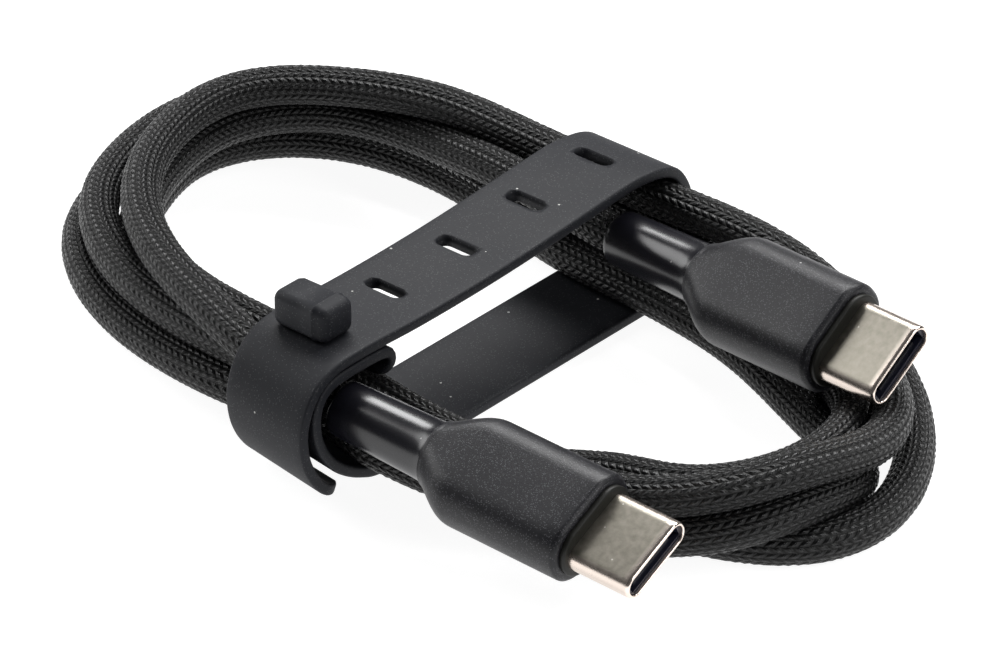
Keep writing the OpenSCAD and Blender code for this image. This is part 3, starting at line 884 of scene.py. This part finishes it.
def grip_rings():
    """The grip: a small step up from the sleeve, the shoulders, the straight body and the rounded front."""
    rings = [at(SLEEVE_LONG - 0.1, 2.3, 2.3, 2.3), at(SLEEVE_LONG - 0.05, 3.1, 3.1, 3.1),
             at(SLEEVE_LONG + 0.05, 3.26, 3.2, 3.2)]
    for t in np.linspace(0.06, 1, 16):
        s = math.sin(t * math.pi / 2) ** 1.25
        rings.append(at(SLEEVE_LONG + SHOULDER_LONG * t, 3.2 + (GRIP_HALF_WIDE - 3.2) * s,
                        3.14 + (GRIP_HALF_THICK - 3.14) * s, 3.14 - 0.14 * s))
    front = [(-9, 0), (-6, 0), (-3, 0), (-1.1, 0), (-0.95, 0.02), (-0.82, 0.1), (-0.68, 0.22), (-0.6, 0.3),
             (-0.55, 0.4), (-0.55, 0.8), (-0.6, 1.2)]
    return rings + [grip_outline(x, inset) for x, inset in front]


def grip_outline(x, inset):
    """The grip's outline at a place from its front end, drawn in all round by an inset."""
    return at(GRIP_END + x, GRIP_HALF_WIDE - inset, GRIP_HALF_THICK - inset, GRIP_CORNER - inset * 0.7)


def collar_rings():
    stations = [(-1.2, 1.3), (-0.62, 0.75), (-0.2, 0.72), (-0.08, 0.76), (-0.02, 0.84), (0, 1.0), (0, 1.6)]
    return [grip_outline(x, inset) for x, inset in stations]


def shell_rings():
    """The shell from its hidden root in the grip, along the outside, round the lip and back inside."""
    end, wall = GRIP_END + SHELL_LONG, SHELL_WALL
    stations = [(GRIP_END - 5, 0), (GRIP_END, 0), (GRIP_END + 2, 0), (end - 0.9, 0), (end - 0.4, 0),
                (end - 0.2, 0.02), (end - 0.07, 0.08), (end, 0.17), (end, wall + 0.05),
                (end - 0.07, wall + 0.12), (end - 0.2, wall + 0.1), (end - 0.5, wall), (GRIP_END - 5, wall)]
    return [at(x, SHELL_HALF_WIDE - i, SHELL_HALF_THICK - i, SHELL_HALF_THICK - i) for x, i in stations]


def shell_skin(side):
    """The shell as a closed tube with a wall, and a mask of its lip and round sides, which are made glossier
    and carry a painted highlight.
    """
    rings = [placed(side, r) for r in shell_rings()]
    count = len(rings[0])
    faces = ring_faces(len(rings), count)
    last = (len(rings) - 1) * count
    faces += [(last + k, last + (k + 1) % count, (k + 1) % count, k) for k in range(count)]
    made = skin(side + "_shell", [(np.vstack(rings), faces)], NICKEL)
    end, angles = PLUGS[side]
    own = (np.array([v.co for v in made.data.vertices]) / MM - np.array(end)) @ turned(angles)
    lip = ease((own[:, 0] - (GRIP_END + SHELL_LONG - 0.55)) / 0.3)
    round_side = ease((np.abs(own[:, 1]) - (SHELL_HALF_WIDE - 0.95)) / 0.5)
    # The lip and the round sides carry a painted highlight in the shell's colour, and are made glossier.
    bright = np.maximum(lip, 0.75 * round_side)
    mask = made.data.attributes.new("polish_and_painted_highlight", "FLOAT", "POINT")
    mask.data.foreach_set("value", bright.astype(np.float32))
    return made


def plug_outside(side):
    """The four outer pieces of a plug, each standing for its CAD node."""
    sleeve = skin(side + "_sleeve", [loft([placed(side, r) for r in sleeve_rings()])], SLEEVE)
    grip = skin(side + "_grip", [loft([placed(side, r) for r in grip_rings()])], GRIP)
    collar = skin(side + "_collar", [loft([placed(side, r) for r in collar_rings()])], COLLAR)
    shell = shell_skin(side)
    for piece, node, finish in ((sleeve, "strain_relief", "sleeve_gloss"),
                                (grip, "plug_grip", "grip_plastic"),
                                (collar, "front_collar", "collar_plastic"),
                                (shell, "plug_shell", "nickel_shell")):
        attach(piece, "root")
        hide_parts(side + "_" + node)
    return [sleeve, grip, collar, shell]


outside = {side: plug_outside(side) for side in PLUGS}
for name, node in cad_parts.items():
    kind = name.split("_", 1)[1]
    finish = INSIDE_FINISHES.get(SAME_AS.get(kind, kind))
    if finish is not None:
        node.data.materials.clear()
        node.data.materials.append(finish)
print("plug pieces:", sum(len(p) for p in outside.values()))

# %% [markdown]

# %% [markdown]
# ## The studio
# A white floor runs on as far as the eye sees, under a dim white sky. A long soft box overhead gives the
# glossy sleeves their wide bands of light and the braid its bright rows, and two weaker ones light the sides.

# %% Floor, sky and lights
FLOOR_HALF, FLOOR_CELLS, FLOOR_Z = 3.0, 4, -0.0001
SKY_STRENGTH = 0.07
SOFT_BOXES = {  # place and size in metres, power in watts
    "top_box": ((-0.15, 0.42, 0.62), (0.9, 0.3), 10.0),
    "left_box": ((-0.6, -0.2, 0.4), (0.35, 0.5), 2.5),
    "right_box": ((0.6, 0.1, 0.45), (0.3, 0.5), 2.0),
}


def studio_floor():
    steps = np.linspace(-FLOOR_HALF, FLOOR_HALF, FLOOR_CELLS + 1)
    points = [(x, y, FLOOR_Z) for y in steps for x in steps]
    row = len(steps)
    corners = [r * row + c for r in range(FLOOR_CELLS) for c in range(FLOOR_CELLS)]
    faces = [(k, k + 1, k + row + 1, k + row) for k in corners]
    mesh = bpy.data.meshes.new("floor")
    mesh.from_pydata(points, [], faces)
    paper = moulded_finish("floor_paper", (0.3, 0.3, 0.3), (0.32, 0.32, 0.32), 0.9,
                           Emission_Color=(1, 1, 1, 1), Emission_Strength=0.93, Specular_IOR_Level=0.0)
    mesh.materials.append(paper)
    return add_object("floor", mesh)


def soft_box(name, place, size, power):
    data = bpy.data.lights.new(name, "AREA")
    data.shape, data.size, data.size_y, data.energy = "RECTANGLE", *size, power
    lamp = add_object(name, data)
    lamp.location = place
    lamp.rotation_mode = "QUATERNION"
    lamp.rotation_quaternion = Vector(place).to_track_quat("Z", "Y")


studio_floor()
for box_name, (place, size, power) in SOFT_BOXES.items():
    soft_box(box_name, place, size, power)
world = bpy.data.worlds.new("white_sky")
world.use_nodes = True
world.node_tree.nodes["Background"].inputs["Color"].default_value = (1, 1, 1, 1)
world.node_tree.nodes["Background"].inputs["Strength"].default_value = SKY_STRENGTH
bpy.context.scene.world = world
bpy.context.scene.view_settings.view_transform = "Standard"
print("soft boxes:", len(SOFT_BOXES))
